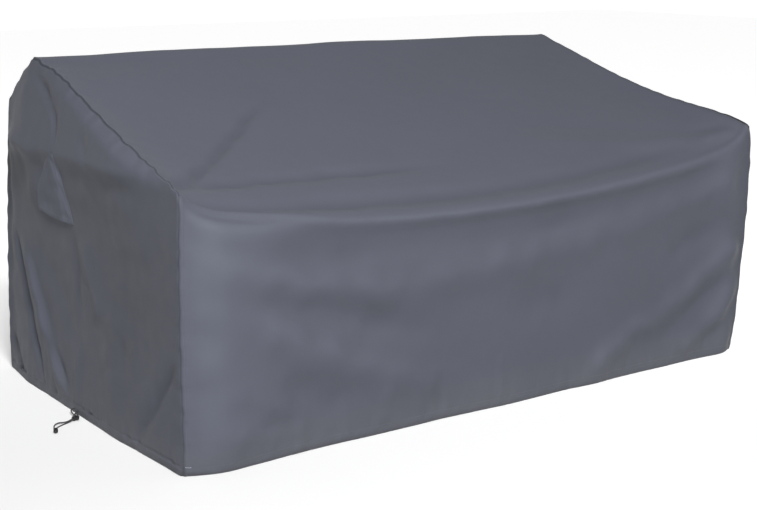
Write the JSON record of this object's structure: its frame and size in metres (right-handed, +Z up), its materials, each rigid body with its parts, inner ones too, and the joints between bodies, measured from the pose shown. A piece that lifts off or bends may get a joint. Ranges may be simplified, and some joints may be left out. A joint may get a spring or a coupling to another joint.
{
  "type": "outdoor sofa cover",
  "caption": "Fitted weather cover for a two-seat outdoor sofa, in dark grey cloth, with a vent hood, a hem casing and a drawcord with its cord lock at one end.",
  "frame": {"origin": "point on the cover's inside under the middle of the ridge, where the sofa's back holds the cover up", "axes": "+X along the cover to its right end as seen from the front, -Y out of its front, +Z up"},
  "size_m": [1.7668, 0.9908, 0.7928],
  "materials": {
    "cover_cloth": "fine plain weave with a matt weatherproof coating",
    "tab_cloth": "folded strip of the cover's cloth",
    "trim_plastic": "moulded, slightly worn",
    "drawcord": "braided round cord"
  },
  "bodies": {
    "root": {"main_panel": "cover_cloth", "side_panel_left": "cover_cloth", "side_panel_right": "cover_cloth", "vent_hood_left": "cover_cloth", "lock_tab": "tab_cloth", "cord_lock": "trim_plastic", "lock_button": "trim_plastic", "cord_end": "trim_plastic", "draw_loop_front": "drawcord", "draw_loop_rear": "drawcord", "draw_tail_upper": "drawcord", "draw_tail_lower": "drawcord"}
  },
  "joints": []
}
